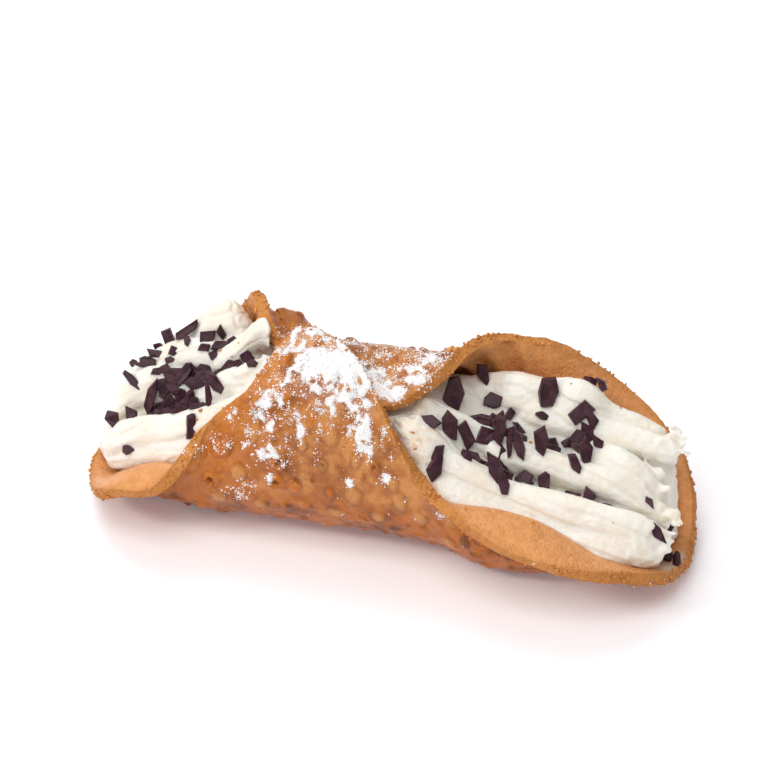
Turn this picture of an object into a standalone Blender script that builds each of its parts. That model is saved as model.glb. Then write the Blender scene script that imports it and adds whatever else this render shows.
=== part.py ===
"""A filled cannolo: a rolled fried shell and the cream that runs through it.

The tables hold millimetres and degrees; the meshes are in metres.
x runs along the roll, y across it and z up. The near side is -y, the far side +y.
"""
import math

import bmesh
import bpy

MM = 0.001

# Shell
LEFT_TIP = -50.5
RIGHT_TIP = 69.8
THICKNESS = 2.4
SEAM_GAP = 0.4
LIP_WIDTH = 10.0
FLAT_DEPTH = 0.3
SWELL_AT = (-14.5, 138.0)
SWELL_REACH = (4.0, 24.0)
SWELL_HEIGHT = 2.2
FLAP_STARTS = (-24.0, -14.0)
FLAP_ENDS = (12.0, 22.0)
FLAP_RISES = (105.0, 150.0)
SHELL_STEPS = (40, 35)

# Filling
FILLING_LEFT = -50.0
FILLING_RIGHT = 66.5
FILLING_GAP = 0.3
CONTACT_IN_TUBE = 100.0
CONTACT_LEAST = 12.0
TUBE_STARTS = (-20.0, -9.0)
TUBE_ENDS = (8.0, 20.0)
ROOF_GAP = 2.0
ROOF_FROM = (115.0, 145.0)
ROOM_PAST_RIM = 0.4
RIDGES = 6
RIDGE_DEPTH = 1.3
MOUND_RISES = (0.30, 0.80)
MOUTH_FULLNESS = 6.0
TUBE_FULLNESS = 2.0
UNDER_STEPS = 12
OVER_STEPS = 30
FILLING_ROWS = 48
END_ROUNDNESS = 6.5
END_RISE = 0.3


def profile(*pairs):
    """Return a smooth curve through (x, value) pairs, held level past both ends."""
    xs = [pair[0] for pair in pairs]
    ys = [pair[1] for pair in pairs]
    last = len(xs) - 1
    rises = [(ys[i + 1] - ys[i]) / (xs[i + 1] - xs[i]) for i in range(last)]
    slopes = [rises[0]]
    for i in range(1, last):
        before = xs[i] - xs[i - 1]
        after = xs[i + 1] - xs[i]
        slopes.append((after * rises[i - 1] + before * rises[i]) / (before + after))
    slopes.append(rises[-1])

    def value(x):
        x = min(max(x, xs[0]), xs[-1])
        i = 0
        while i < last - 1 and x > xs[i + 1]:
            i += 1
        span = xs[i + 1] - xs[i]
        t = (x - xs[i]) / span
        start = (1.0 + 2.0 * t) * (1.0 - t) ** 2 * ys[i] + t * (1.0 - t) ** 2 * span * slopes[i]
        end = t * t * (3.0 - 2.0 * t) * ys[i + 1] - t * t * (1.0 - t) * span * slopes[i + 1]
        return start + end

    return value


def ease(low, high, x):
    """Rise smoothly from 0 at low to 1 at high."""
    t = min(max((x - low) / (high - low), 0.0), 1.0)
    return t * t * (3.0 - 2.0 * t)


# Outer radius of the roll on each side
RADIUS = {
    -1: profile((-51, 13.5), (-40, 14), (-30, 16), (-20, 17.8), (-12, 18), (26, 17.8), (48, 17.5),
                (70, 19)),
    1: profile((-51, 15), (-40, 16), (-30, 17.5), (-22, 18.5), (-9, 18), (14, 18), (35, 19.5),
               (58, 20), (70, 19)),
}

# How far round the roll each side of the dough reaches, in degrees from the underside
REACH = {
    -1: profile((-51, 125), (-46, 146), (-41, 165), (-36, 165), (-31, 155), (-27.5, 140), (-24, 130),
                (-22.3, 137), (-20.5, 145), (-17, 151), (-12.8, 158), (-11.4, 174), (-10, 190),
                (-8, 192), (-4, 186), (0, 176), (10, 146), (16, 124), (19, 113), (22, 105), (26, 110),
                (31, 120), (39, 131), (46, 135), (57, 130), (70, 140)),
    1: profile((-51, 140), (-40, 142), (-30, 153), (-24, 157), (-20.5, 160), (-18.5, 172), (-16, 187),
               (-9, 188), (0, 200), (7, 210), (14, 213), (17.6, 206), (20.3, 194), (22, 176),
               (24, 160), (28, 147), (36, 149), (41, 147.5), (46, 139.5), (53, 133.5), (60, 138),
               (66, 152), (70, 148)),
}

# How far the lip is turned outward and up (or drooped) at its very edge
LIP_OUT = {
    -1: profile((-51, 0), (-46, 3.2), (-41, 6.8), (-36, 8.8), (-31, 9.2), (-27.5, 7.5), (-22, 1.5),
                (-16, 0), (14, 0), (20, 1.5), (26, 5), (33, 9), (42, 10.5), (52, 8.5), (60, 5), (70, 1)),
    1: profile((-51, 1), (-35, 2), (-26, 3), (-20, 4), (-15, 2.5), (-11, 0), (14, 0), (22, 2), (30, 3),
               (60, 3), (70, 0.5)),
}
LIP_UP = {
    -1: profile((-51, 0), (-46, -2.2), (-41, -5), (-36, -7), (-31, -8.5), (-27.5, -6.5), (-22, -0.5),
                (-16, 0), (16, 0), (23, -1.5), (30, -6), (38, -9), (46, -8.5), (54, -5), (62, -2), (70, 0)),
    1: profile((-51, 0), (-30, 1), (-24, 3.5), (-20, 5), (-14, 2), (-11, 0), (12, 0), (20, 1), (27, 3),
               (35, 2.5), (45, 0.5), (70, 0)),
}

# How far the underside of the dough is off the ground
LIFT = profile((-51, 4.2), (-44, 1.6), (-37, 0.2), (-32, 0), (-26, 0), (-10, 0.8), (10, 1.0),
               (22, 0.6), (34, 0), (54, 0), (62, 0.8), (70, 3.0))

# How far below the rim the cream leaves the wall, in degrees
CONTACT_BELOW_RIM = {
    -1: profile((-48, 14), (-42, 26), (-32, 26), (-24, 15), (20, 14), (35, 22)),
    1: profile((-45, 10), (50, 10)),
}

# Height of the cream along the near side and along the far side of each mound
CROWN_NEAR = profile((-49, 12), (-46, 18), (-41, 22), (-36, 23.8), (-25, 27.8), (-18.5, 30.5),
                     (-12, 34), (14, 34), (18, 32.5), (24, 28.5), (30, 25), (36, 22.5), (46, 21),
                     (54, 19.8), (61, 18.3), (67, 14))
CROWN_FAR = profile((-49, 14), (-46, 21), (-42, 27.5), (-37, 33.5), (-29, 38), (-24, 39.3),
                    (-19, 38.5), (-12, 34.5), (14, 34), (22, 31), (28, 31), (38, 31.5), (45, 31.8),
                    (50, 28.5), (56, 26.3), (62, 25), (67, 19))


def raised(side, x, angle):
    """How far the near flap is raised over the far one, and the far one swells behind it."""
    if side > 0:
        off_along = (x - SWELL_AT[0]) / SWELL_REACH[0]
        off_around = (angle - SWELL_AT[1]) / SWELL_REACH[1]
        return SWELL_HEIGHT * math.exp(-off_along ** 2 - off_around ** 2)
    along = ease(*FLAP_STARTS, x) * (1.0 - ease(*FLAP_ENDS, x))
    return (THICKNESS + SEAM_GAP) * ease(*FLAP_RISES, angle) * along


def dough(side, x, angle, inset=0.0, lip=0.0):
    """Point on the rolled dough; inset is measured inward, lip is 1 at the edge."""
    radius = RADIUS[side](x)
    reach = radius + raised(side, x, angle) - inset
    turn = math.radians(angle)
    y = side * (reach * math.sin(turn) + LIP_OUT[side](x) * lip * lip)
    z = radius - reach * math.cos(turn) + LIP_UP[side](x) * lip * lip + LIFT(x)
    return x, y, z


def middle():
    """Middle of the shell's length and half its length."""
    return (LEFT_TIP + RIGHT_TIP) / 2.0, (RIGHT_TIP - LEFT_TIP) / 2.0


def rim_share(x):
    """Share of the full reach that the oval sheet of dough has at x."""
    centre, half = middle()
    return math.sqrt(max(1.0 - ((x - centre) / half) ** 2, 0.0))


def shell_point(a, b):
    """Take a square sheet's point (a, b) to an oval sheet and roll it up."""
    along = a * math.sqrt(1.0 - b * b / 2.0)
    around = b * math.sqrt(1.0 - a * a / 2.0)
    centre, half = middle()
    x = centre + half * along
    side = -1 if around < 0.0 else 1
    full = REACH[side](x)
    angle = abs(around) * full
    to_edge = math.radians(rim_share(x) * full - angle) * RADIUS[side](x)
    lip = min(max(1.0 - to_edge / LIP_WIDTH, 0.0), 1.0)
    x, y, z = dough(side, x, angle, lip=lip)
    return x, y, max(z, FLAT_DEPTH)


def contact_angle(side, x):
    """Angle at which the cream leaves the shell's wall."""
    rim = REACH[side](x) * rim_share(x)
    return max(min(rim - CONTACT_BELOW_RIM[side](x), CONTACT_IN_TUBE), CONTACT_LEAST)


def in_tube(x):
    """1 where the roll is closed round the cream, 0 in the open mouths."""
    return ease(*TUBE_STARTS, x) * (1.0 - ease(*TUBE_ENDS, x))


def filling_under(x, share):
    """Underside of the cream, from the far contact (0) round to the near one (1)."""
    far = contact_angle(1, x)
    near = contact_angle(-1, x)
    angle = far - share * (far + near)
    side = 1 if angle > 0.0 else -1
    y, z = dough(side, x, abs(angle), inset=THICKNESS + FILLING_GAP)[1:]
    return y, max(z, FLAT_DEPTH + THICKNESS + FILLING_GAP)


def inside_wall(x, y, z):
    """Move a point of the cream's section inward if it would enter the shell's wall."""
    side = 1 if y > 0.0 else -1
    radius = RADIUS[side](x)
    up = z - radius - LIFT(x)
    angle = math.degrees(math.atan2(abs(y), -up))
    own_rim = REACH[side](x) * rim_share(x)
    other_rim = 360.0 - REACH[-side](x) * rim_share(x)
    past_rims = max(min(angle - own_rim, other_rim - angle), 0.0)
    low_roof = min(RADIUS[1](x), radius) - ROOF_GAP - radius
    room = radius + low_roof * ease(*ROOF_FROM, angle) + past_rims * ROOM_PAST_RIM
    room -= THICKNESS + FILLING_GAP
    length = math.hypot(y, up)
    if length <= room:
        return y, z
    return y * room / length, z + up * (room / length - 1.0)


def filling_over(x, share):
    """Top of the cream, from the near contact (0) across to the far one (1)."""
    near = filling_under(x, 1.0)
    far = filling_under(x, 0.0)
    across = -math.cos(math.pi * share)
    y = (near[0] + far[0]) / 2.0 + across * (far[0] - near[0]) / 2.0
    base = (near[1] + far[1]) / 2.0 + across * (far[1] - near[1]) / 2.0
    closed = in_tube(x)
    roof = RADIUS[1](x) * 2.0 - THICKNESS - FILLING_GAP + LIFT(x)
    crown = CROWN_NEAR(x) + (CROWN_FAR(x) - CROWN_NEAR(x)) * ease(*MOUND_RISES, share)
    crown = crown * (1.0 - closed) + roof * closed
    fullness = MOUTH_FULLNESS + (TUBE_FULLNESS - MOUTH_FULLNESS) * closed
    swell = math.sqrt(max(1.0 - abs(across) ** fullness, 0.0))
    groove = RIDGE_DEPTH * (1.0 - closed) * (1.0 - abs(math.sin(math.pi * RIDGES * share)))
    return inside_wall(x, y, base + (crown - base) * swell - groove * math.sqrt(swell))


def filling_point(row, turn):
    """Point of the cream at row (-1 left to 1 right) and turn (0 to 1 round the section)."""
    x = (FILLING_LEFT + FILLING_RIGHT) / 2.0 + row * (FILLING_RIGHT - FILLING_LEFT) / 2.0
    steps = UNDER_STEPS + OVER_STEPS
    under = UNDER_STEPS / steps
    if turn < under:
        y, z = filling_under(x, turn / under)
    else:
        y, z = filling_over(x, (turn - under) / (1.0 - under))
    size = max(1.0 - abs(row) ** END_ROUNDNESS, 0.0) ** (1.0 / END_ROUNDNESS)
    low_y, low_z = filling_under(x, 0.5)
    low_z += END_RISE
    return x, low_y + (y - low_y) * size, low_z + (z - low_z) * size


def clear_scene():
    """Remove everything that is in the scene."""
    for obj in list(bpy.data.objects):
        bpy.data.objects.remove(obj)


def material(name, colour, roughness):
    """Make a plain material."""
    made = bpy.data.materials.new(name)
    made.use_nodes = True
    shader = made.node_tree.nodes["Principled BSDF"]
    shader.inputs["Base Color"].default_value = (*colour, 1.0)
    shader.inputs["Roughness"].default_value = roughness
    shader.inputs["Metallic"].default_value = 0.0
    return made


def add_piece(name, sheet, look):
    """Turn a bmesh into a smooth named object with one material."""
    mesh = bpy.data.meshes.new(name)
    sheet.to_mesh(mesh)
    sheet.free()
    mesh.materials.append(look)
    mesh.polygons.foreach_set("use_smooth", [True] * len(mesh.polygons))
    piece = bpy.data.objects.new(name, mesh)
    bpy.context.scene.collection.objects.link(piece)
    return piece


def build_shell():
    """Roll an oval sheet of dough and give it its thickness."""
    sheet = bmesh.new()
    bmesh.ops.create_grid(sheet, x_segments=SHELL_STEPS[0], y_segments=SHELL_STEPS[1], size=1.0)
    for vert in sheet.verts:
        point = shell_point(vert.co.x, vert.co.y)
        vert.co = [value * MM for value in point]
    bmesh.ops.reverse_faces(sheet, faces=sheet.faces)
    piece = add_piece("shell", sheet, material("fried_crust", (0.46, 0.20, 0.065), 0.5))
    thicken = piece.modifiers.new("thickness", "SOLIDIFY")
    thicken.thickness = THICKNESS * MM
    thicken.offset = -1.0
    thicken.use_even_offset = True
    return piece


def build_filling():
    """Shape a closed round body into the cream, mounded and ridged at both ends."""
    body = bmesh.new()
    around = UNDER_STEPS + OVER_STEPS
    bmesh.ops.create_uvsphere(body, u_segments=around, v_segments=FILLING_ROWS, radius=1.0)
    for vert in body.verts:
        row = 1.0 - 2.0 * math.acos(min(max(vert.co.z, -1.0), 1.0)) / math.pi
        turn = math.atan2(vert.co.y, vert.co.x) / (2.0 * math.pi) % 1.0
        if turn > 1.0 - 1e-6:
            turn = 0.0
        point = filling_point(row, turn)
        vert.co = [value * MM for value in point]
    bmesh.ops.reverse_faces(body, faces=body.faces)
    return add_piece("filling", body, material("ricotta_cream", (0.83, 0.80, 0.68), 0.45))


def centre_on_ground(pieces):
    """Move the pieces together so that the box they fill stands centred on the origin."""
    bpy.context.view_layer.update()
    graph = bpy.context.evaluated_depsgraph_get()
    corners = []
    for piece in pieces:
        shaped = piece.evaluated_get(graph)
        corners += [vert.co.copy() for vert in shaped.data.vertices]
    shift = [-(min(c[i] for c in corners) + max(c[i] for c in corners)) / 2.0 for i in range(2)]
    shift.append(-min(c[2] for c in corners))
    for piece in pieces:
        for vert in piece.data.vertices:
            vert.co = [vert.co[i] + shift[i] for i in range(3)]


def build():
    """Build the cannolo."""
    clear_scene()
    centre_on_ground([build_shell(), build_filling()])


build()
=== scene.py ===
"""Dresses a filled cannolo: fried shell, ricotta cream, chocolate shards, icing sugar and crumbs.

Millimetres are used throughout; a piece's mesh is turned to metres as it is made.
x runs along the roll, y across it and z up. The near side is -y, the far side +y.
"""

import math
import random

import bmesh
import bpy
import numpy as np
from bpy.props import FloatProperty, FloatVectorProperty, IntProperty, PointerProperty
from mathutils import Matrix, Vector, kdtree, noise
from mathutils.bvhtree import BVHTree


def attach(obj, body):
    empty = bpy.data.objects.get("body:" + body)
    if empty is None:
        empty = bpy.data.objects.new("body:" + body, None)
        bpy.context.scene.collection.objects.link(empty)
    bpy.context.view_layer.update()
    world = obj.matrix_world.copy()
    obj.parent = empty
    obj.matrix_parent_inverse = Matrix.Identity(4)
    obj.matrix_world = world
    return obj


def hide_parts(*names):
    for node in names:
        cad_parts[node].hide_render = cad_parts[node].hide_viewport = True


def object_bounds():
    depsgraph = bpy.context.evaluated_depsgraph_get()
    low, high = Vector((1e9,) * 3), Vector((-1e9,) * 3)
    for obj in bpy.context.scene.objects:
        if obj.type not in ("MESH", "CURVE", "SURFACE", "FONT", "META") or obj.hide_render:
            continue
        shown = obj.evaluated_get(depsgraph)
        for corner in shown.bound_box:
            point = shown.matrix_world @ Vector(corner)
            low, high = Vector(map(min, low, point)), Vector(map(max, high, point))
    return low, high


bl_info = {
    "name": "Filled cannolo",
    "version": (1, 0, 0),
    "blender": (4, 5, 0),
    "location": "View3D > Sidebar > Cannolo",
    "description": "Dresses a filled cannolo: fried shell, ricotta cream, chocolate, sugar and crumbs",
    "category": "Object",
}

MM = 0.001
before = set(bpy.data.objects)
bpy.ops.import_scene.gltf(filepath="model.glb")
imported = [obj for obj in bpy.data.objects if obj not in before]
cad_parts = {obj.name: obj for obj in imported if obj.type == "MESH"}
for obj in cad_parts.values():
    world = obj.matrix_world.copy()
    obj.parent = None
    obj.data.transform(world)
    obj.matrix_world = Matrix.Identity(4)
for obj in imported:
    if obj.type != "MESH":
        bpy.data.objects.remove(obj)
LOW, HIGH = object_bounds()

# The roll is a tube of about this radius, with its axis at this y and z.
TUBE_RADIUS = 18.0
AXIS_Y = 1.84
AXIS_Z = 18.0


# ---------------------------------------------------------------- small helpers


def linear(code):
    """Turn an sRGB hex colour to linear red, green and blue."""
    parts = [int(code[i:i + 2], 16) / 255.0 for i in (1, 3, 5)]
    return tuple(p / 12.92 if p <= 0.04045 else ((p + 0.055) / 1.055) ** 2.4 for p in parts)


def ease(low, high, value):
    """Rise smoothly from 0 at low to 1 at high."""
    t = np.clip((value - low) / (high - low), 0.0, 1.0)
    return t * t * (3.0 - 2.0 * t)


def field(points, size, seed=0, octaves=1):
    """Smooth noise, about -1 to 1, with features of this many millimetres."""
    places = (points / size + seed * 19.37).tolist()
    if octaves == 1:
        return np.array([noise.noise(p) for p in places])
    return np.array([noise.fractal(p, 1.0, 2.0, octaves) for p in places])


def angle_round(points):
    """Angle round the roll from its underside in degrees, negative on the near side."""
    return np.degrees(np.arctan2(points[:, 1] - AXIS_Y, AXIS_Z - points[:, 2]))


def distance_on_roll(points, x, angle):
    """Millimetres along and round the roll from the place at x and angle."""
    along = points[:, 0] - x
    turned = (angle_round(points) - angle + 180.0) % 360.0 - 180.0
    return along, np.radians(turned) * TUBE_RADIUS


def read_points(mesh):
    """Vertex positions in millimetres."""
    flat = np.empty(len(mesh.vertices) * 3)
    mesh.vertices.foreach_get("co", flat)
    return flat.reshape(-1, 3) / MM


def write_points(mesh, points):
    """Set the vertex positions, given in millimetres."""
    mesh.vertices.foreach_set("co", (points * MM).ravel())
    mesh.update()


def read_normals(mesh):
    """Vertex normals."""
    flat = np.empty(len(mesh.vertices) * 3)
    mesh.vertices.foreach_get("normal", flat)
    return flat.reshape(-1, 3)


def write_value(mesh, name, values):
    """Store one number for each vertex as an attribute."""
    layer = mesh.attributes.new(name, "FLOAT", "POINT")
    layer.data.foreach_set("value", np.asarray(values, dtype=np.float32))


def new_object(name, mesh):
    """Link a mesh to the scene as an object, shaded smooth."""
    mesh.polygons.foreach_set("use_smooth", [True] * len(mesh.polygons))
    piece = bpy.data.objects.new(name, mesh)
    bpy.context.scene.collection.objects.link(piece)
    return piece


def freeze(piece):
    """Apply a piece's modifiers."""
    graph = bpy.context.evaluated_depsgraph_get()
    shaped = bpy.data.meshes.new_from_object(piece.evaluated_get(graph))
    piece.modifiers.clear()
    old = piece.data
    piece.data = shaped
    bpy.data.meshes.remove(old)


def finish_piece(piece, look, slot, *nodes):
    """Give a piece its material and body, and hide the CAD nodes that it stands for. The slot is not used."""
    piece.data.materials.clear()
    piece.data.materials.append(look)
    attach(piece, "root")
    if nodes:
        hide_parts(*nodes)


def surface_of(*names):
    """Ray-casting tree in millimetres over the named pieces."""
    corners = []
    faces = []
    for name in names:
        mesh = bpy.data.objects[name].data
        start = len(corners)
        corners += read_points(mesh).tolist()
        faces += [[start + i for i in face.vertices] for face in mesh.polygons]
    return BVHTree.FromPolygons(corners, faces)


def repeat_shape(name, shapes, places, tints=None):
    """Join many turned and scaled copies of a few small shapes into one mesh."""
    corners = []
    faces = []
    values = []
    start = 0
    for i, (kind, place) in enumerate(places):
        points, sides = shapes[kind]
        moved = points @ np.array(place.to_3x3()).T + np.array(place.translation)
        corners.append(moved)
        faces += [[start + k for k in side] for side in sides]
        start += len(points)
        values += [tints[i] if tints else 0.0] * len(points)
    mesh = bpy.data.meshes.new(name)
    mesh.from_pydata((np.concatenate(corners) * MM).tolist(), [], faces)
    if tints:
        write_value(mesh, "tint", values)
    return new_object(name, mesh)


def take_shape(sheet):
    """Read a small bmesh as points and faces, and free it."""
    sheet.verts.ensure_lookup_table()
    points = np.array([vert.co[:] for vert in sheet.verts])
    faces = [[vert.index for vert in face.verts] for face in sheet.faces]
    sheet.free()
    return points, faces


# ---------------------------------------------------------------- materials


def add_node(tree, kind, links=None, **settings):
    """Add a node with its settings, and link or set its inputs."""
    made = tree.nodes.new(kind)
    for key, value in settings.items():
        setattr(made, key, value)
    for key, value in (links or {}).items():
        if isinstance(value, bpy.types.NodeSocket):
            tree.links.new(value, made.inputs[key])
        else:
            made.inputs[key].default_value = value
    return made


def per_mm(size):
    """Texture scale for features of this many millimetres."""
    return 1.0 / (size * MM)


def start_material(name):
    """Make an empty node material; return it with its tree, shader and coordinates."""
    look = bpy.data.materials.new(name)
    look.use_nodes = True
    tree = look.node_tree
    shader = tree.nodes["Principled BSDF"]
    coords = add_node(tree, "ShaderNodeTexCoord").outputs["Object"]
    return look, tree, shader, coords


def blend_colour(tree, factor, first, second):
    """Mix two colours."""
    mixed = add_node(tree, "ShaderNodeMix", {0: factor, 6: first, 7: second}, data_type="RGBA")
    return mixed.outputs[2]


def rescale(tree, value, low, high, to_low=0.0, to_high=1.0):
    """Map a value from one range to another, smoothly and held at both ends."""
    links = {0: value, 1: low, 2: high, 3: to_low, 4: to_high}
    return add_node(tree, "ShaderNodeMapRange", links, interpolation_type="SMOOTHSTEP").outputs[0]


def noise_value(tree, coords, size, detail=2.0, roughness=0.5):
    """Noise from 0 to 1 with features of this many millimetres."""
    links = {"Vector": coords, "Scale": per_mm(size), "Detail": detail, "Roughness": roughness}
    return add_node(tree, "ShaderNodeTexNoise", links).outputs[0]


def calculate(tree, operation, first, second=0.0):
    """Combine two values."""
    return add_node(tree, "ShaderNodeMath", {0: first, 1: second}, operation=operation).outputs[0]


def mesh_value(tree, name):
    """Read a vertex attribute."""
    return add_node(tree, "ShaderNodeAttribute", attribute_name=name).outputs["Fac"]


def bump_from(tree, height, depth, before=None):
    """Bump of this depth in millimetres from a height that runs from 0 to 1."""
    links = {"Height": height, "Distance": depth * MM, "Strength": 1.0}
    if before is not None:
        links["Normal"] = before
    return add_node(tree, "ShaderNodeBump", links).outputs[0]


def fried_dough(colours):
    """Thin wheat dough, deep fried: golden blisters, hollows darkened with painted shade, and a faint film of
    oil.
    """
    look, tree, shader, coords = start_material("deep_fried_dough")
    inner = mesh_value(tree, "inner")
    edge = mesh_value(tree, "edge")
    sugar = mesh_value(tree, "sugar")
    # Noise drawn out round the roll, as the dough stretches where it is wrapped
    stretched = add_node(tree, "ShaderNodeMapping", {"Vector": coords, "Scale": (1.0, 0.35, 0.35)}).outputs[0]
    bands = noise_value(tree, stretched, 3.0, 3.0)
    mottle = noise_value(tree, coords, 1.6, 4.0, 0.6)
    grain = noise_value(tree, coords, 0.5, 3.0, 0.65)
    # Browning mixes random tone with the painted shade of the hollows and the feet of the domes, carried in
    # the toast value
    browned_and_shaded = calculate(tree, "ADD", mesh_value(tree, "toast_and_shade"), calculate(tree, "MULTIPLY", bands, 0.9))
    browned_and_shaded = calculate(tree, "ADD", browned_and_shaded, calculate(tree, "MULTIPLY", mottle, 0.5))
    colour = blend_colour(tree, rescale(tree, browned_and_shaded, 0.35, 1.1), (*colours.tan, 1), (*colours.dull, 1))
    golden = calculate(
        tree, "MULTIPLY", mesh_value(tree, "golden"), rescale(tree, mottle, 0.3, 0.6, 0.55, 1.0),
    )
    colour = blend_colour(tree, golden, colour, (*colours.amber, 1))
    colour = blend_colour(tree, rescale(tree, browned_and_shaded, 0.95, 1.7), colour, (*colours.brown, 1))
    plain = blend_colour(
        tree, rescale(tree, mottle, 0.3, 0.7, 0.0, 0.6), (*colours.inside, 1), (*colours.tan, 1),
    )
    colour = blend_colour(tree, inner, colour, plain)
    pale = calculate(
        tree, "MULTIPLY", mesh_value(tree, "blister"), rescale(tree, mottle, 0.25, 0.6, 0.35, 0.8),
    )
    colour = blend_colour(tree, pale, colour, (*colours.blister, 1))
    rough_edge = calculate(tree, "MULTIPLY", edge, rescale(tree, grain, 0.3, 0.6, 0.35, 1.0))
    colour = blend_colour(tree, rough_edge, colour, (*colours.cut_edge, 1))
    # Pin-prick bubbles, light and dark
    links = {"Vector": coords, "Scale": per_mm(1.1), "Randomness": 1.0}
    cells = add_node(tree, "ShaderNodeTexVoronoi", links, feature="F1").outputs["Distance"]
    flecks = rescale(tree, cells, 0.08, 0.18, 1.0, 0.0)
    light = calculate(tree, "MULTIPLY", flecks, rescale(tree, bands, 0.48, 0.6, 0.0, 0.6))
    dark = calculate(tree, "MULTIPLY", flecks, rescale(tree, bands, 0.45, 0.35, 0.0, 0.5))
    colour = blend_colour(tree, light, colour, (*colours.fleck, 1))
    colour = blend_colour(tree, dark, colour, (*colours.brown, 1))
    # A thin film of cream, dragged over the lip
    film = calculate(tree, "MULTIPLY", mesh_value(tree, "smear"), rescale(tree, mottle, 0.25, 0.6, 0.45, 1.0))
    colour = blend_colour(tree, film, colour, (*colours.film, 1))
    # Icing sugar lies in clumps of about half a millimetre, which break up where it is thin
    clumps = noise_value(tree, coords, 1.0, 5.0, 0.8)
    cover = rescale(tree, calculate(tree, "SUBTRACT", sugar, clumps), -0.06, 0.14)
    colour = blend_colour(tree, cover, colour, (*colours.sugar, 1))
    tree.links.new(colour, shader.inputs["Base Color"])
    oily = rescale(tree, mottle, 0.3, 0.7, 0.30, 0.50)
    dull = calculate(
        tree, "MAXIMUM", calculate(tree, "MULTIPLY", edge, 0.75),
        calculate(tree, "MULTIPLY", inner, 0.62),
    )
    rough = calculate(tree, "MAXIMUM", oily, dull)
    rough = calculate(tree, "MAXIMUM", rough, calculate(tree, "MULTIPLY", cover, 0.9))
    tree.links.new(rough, shader.inputs["Roughness"])
    height = calculate(tree, "ADD", mottle, calculate(tree, "MULTIPLY", cover, 0.5))
    coarse = bump_from(tree, height, 0.7)
    tree.links.new(bump_from(tree, grain, 0.40, coarse), shader.inputs["Normal"])
    shader.inputs["IOR"].default_value = 1.45
    # The oil film shines most where there is neither sugar nor a cut edge
    shine = calculate(
        tree, "SUBTRACT", 0.4, calculate(tree, "MAXIMUM", cover, calculate(tree, "MULTIPLY", edge, 0.3)),
    )
    tree.links.new(calculate(tree, "MAXIMUM", shine, 0.0), shader.inputs["Coat Weight"])
    shader.inputs["Coat Roughness"].default_value = 0.14
    shader.inputs["Specular IOR Level"].default_value = 0.2
    return look


def whipped_ricotta(colours):
    """Sieved ricotta whipped with sugar: moist, faintly grainy, and light goes a little way into it."""
    look, tree, shader, coords = start_material("whipped_ricotta")
    stain = mesh_value(tree, "stain")
    patches = noise_value(tree, coords, 6.0, 2.0)
    grain = noise_value(tree, coords, 0.7, 3.0, 0.6)
    colour = blend_colour(
        tree, rescale(tree, patches, 0.35, 0.7), (*colours.cream, 1), (*colours.cream_warm, 1),
    )
    spots = calculate(tree, "MULTIPLY", stain, rescale(tree, grain, 0.35, 0.65))
    colour = blend_colour(tree, spots, colour, (*colours.stain, 1))
    tree.links.new(colour, shader.inputs["Base Color"])
    tree.links.new(rescale(tree, grain, 0.3, 0.7, 0.32, 0.5), shader.inputs["Roughness"])
    tree.links.new(bump_from(tree, grain, 0.12), shader.inputs["Normal"])
    shader.inputs["Subsurface Weight"].default_value = 0.6
    shader.inputs["Subsurface Radius"].default_value = (1.0, 0.85, 0.6)
    shader.inputs["Subsurface Scale"].default_value = 1.6 * MM
    shader.inputs["IOR"].default_value = 1.4
    return look


def dark_chocolate(colours):
    """Dark couverture, broken: low sheen with a faint grain and bloom."""
    look, tree, shader, coords = start_material("dark_chocolate")
    patches = noise_value(tree, coords, 1.8, 3.0)
    grain = noise_value(tree, coords, 0.35, 2.0)
    faded = rescale(tree, calculate(tree, "ADD", patches, calculate(tree, "MULTIPLY", grain, 0.5)), 0.6, 1.0)
    colour = blend_colour(tree, faded, (*colours.chocolate, 1), (*colours.bloom, 1))
    tree.links.new(colour, shader.inputs["Base Color"])
    tree.links.new(rescale(tree, patches, 0.3, 0.7, 0.34, 0.5), shader.inputs["Roughness"])
    tree.links.new(bump_from(tree, grain, 0.06), shader.inputs["Normal"])
    shader.inputs["IOR"].default_value = 1.46
    shader.inputs["Specular IOR Level"].default_value = 0.3
    return look


def icing_sugar(colours):
    """Powdered sugar in soft clumps: white and quite dull."""
    look, _, shader, _ = start_material("icing_sugar")
    shader.inputs["Base Color"].default_value = (*colours.sugar, 1)
    shader.inputs["Roughness"].default_value = 0.9
    shader.inputs["Subsurface Weight"].default_value = 0.3
    shader.inputs["Subsurface Radius"].default_value = (1.0, 1.0, 1.0)
    shader.inputs["Subsurface Scale"].default_value = 0.2 * MM
    return look


def dough_crumb(colours):
    """Crumbs of fried wheat dough, golden to brown."""
    look, tree, shader, _ = start_material("fried_dough_crumb")
    tint = mesh_value(tree, "tint")
    colour = blend_colour(tree, tint, (*colours.crumb, 1), (*colours.crumb_dark, 1))
    tree.links.new(colour, shader.inputs["Base Color"])
    shader.inputs["Roughness"].default_value = 0.55
    return look


# ---------------------------------------------------------------- fried shell

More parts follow.
